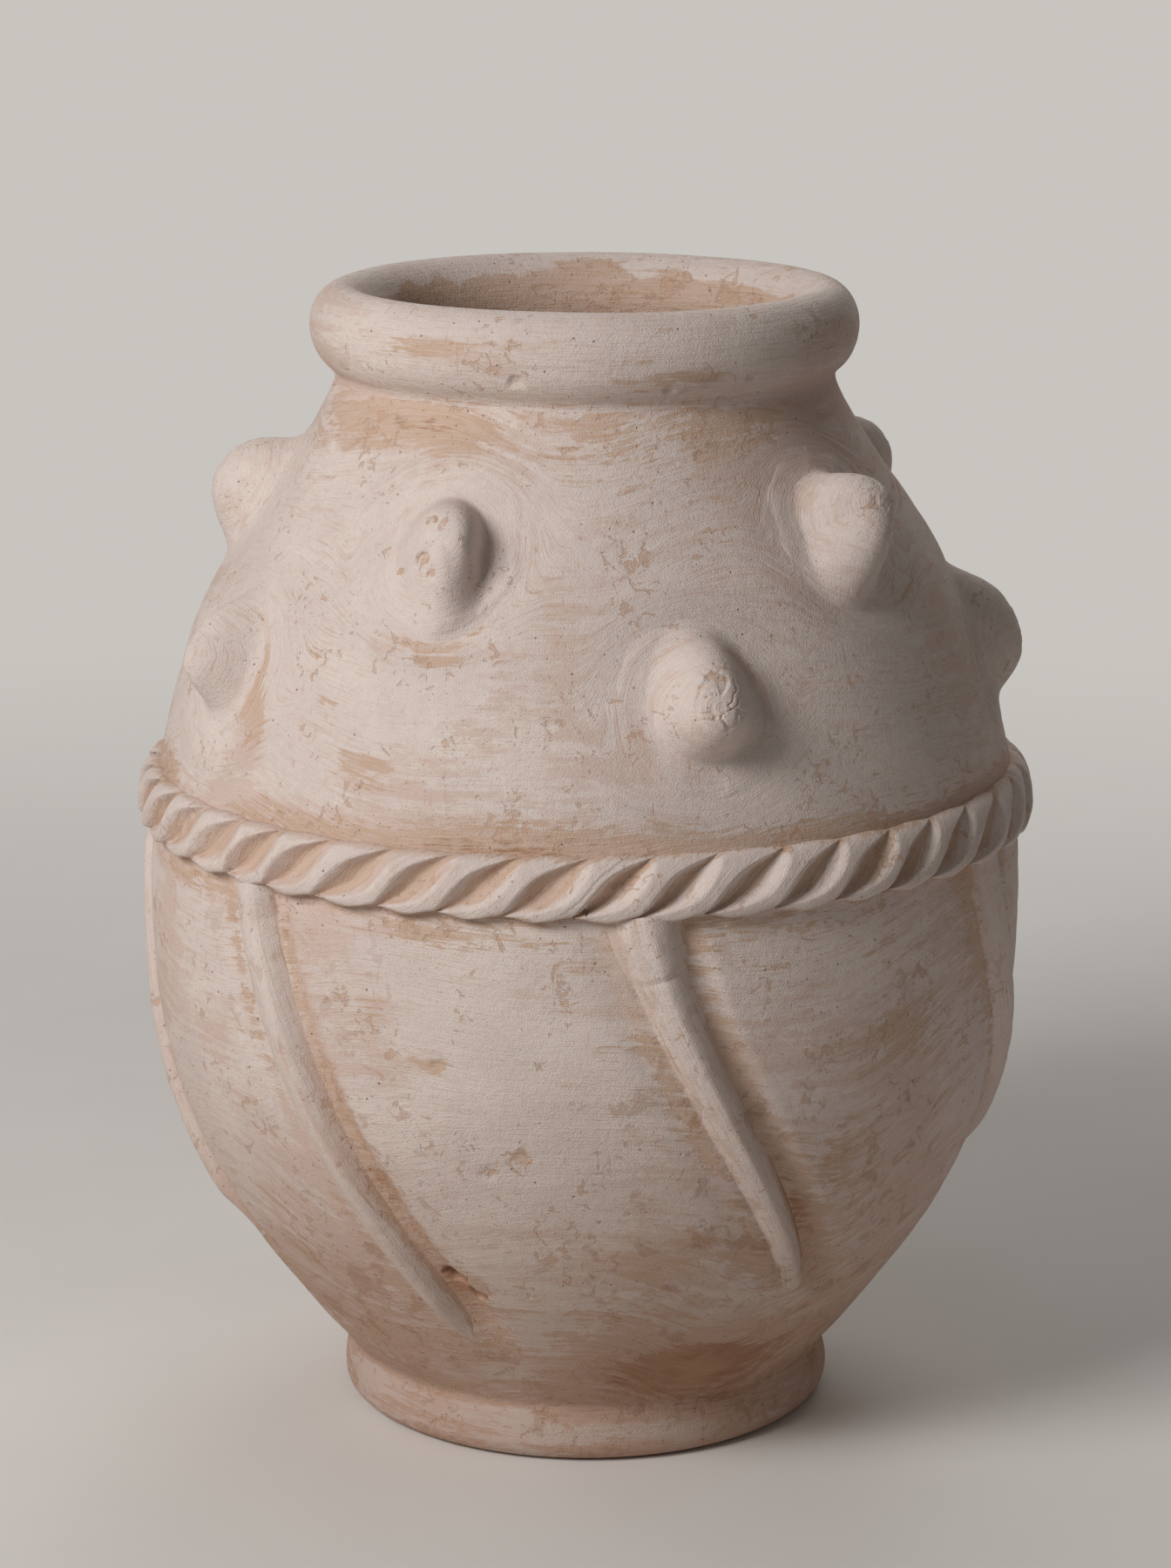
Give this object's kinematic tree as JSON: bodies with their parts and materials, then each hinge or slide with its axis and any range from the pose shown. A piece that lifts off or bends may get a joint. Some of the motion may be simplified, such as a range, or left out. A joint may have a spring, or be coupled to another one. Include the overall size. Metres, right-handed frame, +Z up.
{
  "type": "pithos jar",
  "caption": "Coil-built terracotta storage jar with a rolled rim, a twisted rope moulding, rows of knobs, slanting ribs and a ring foot, finished in worn limewash.",
  "frame": {"origin": "on the ground, on the jar's axis, under the middle of the foot ring", "axes": "+Z up the jar's axis towards the mouth, -Y out of the front that the picture shows, +X to its right"},
  "size_m": [0.4112, 0.4112, 0.5199],
  "materials": {
    "limewashed_wall": "worn cream limewash brushed over fired terracotta",
    "limewashed_relief": "worn cream limewash on raised clay, terracotta in the hollows",
    "limewashed_rim": "worn cream limewash, rubbed on the crest",
    "limewashed_foot": "thin pinkish limewash, bare and chipped along the ground",
    "bare_terracotta": "unglazed fired clay"
  },
  "bodies": {
    "root": {"belly_wall": "limewashed_wall", "floor_slab": "bare_terracotta", "foot_ring": "limewashed_foot", "lower_knob_1": "limewashed_relief", "lower_knob_2": "limewashed_relief", "lower_knob_3": "limewashed_relief", "lower_knob_4": "limewashed_relief", "lower_knob_5": "limewashed_relief", "lower_wall": "limewashed_wall", "neck_wall": "limewashed_wall", "rib_1": "limewashed_relief", "rib_2": "limewashed_relief", "rib_3": "limewashed_relief", "rib_4": "limewashed_relief", "rib_5": "limewashed_relief", "rib_6": "limewashed_relief", "rib_7": "limewashed_relief", "rim_roll": "limewashed_rim", "rope_length_1": "limewashed_relief", "rope_length_2": "limewashed_relief", "rope_length_3": "limewashed_relief", "rope_length_4": "limewashed_relief", "shoulder_wall": "limewashed_wall", "upper_knob_1": "limewashed_relief", "upper_knob_2": "limewashed_relief", "upper_knob_3": "limewashed_relief", "upper_knob_4": "limewashed_relief", "upper_knob_5": "limewashed_relief"}
  },
  "joints": []
}
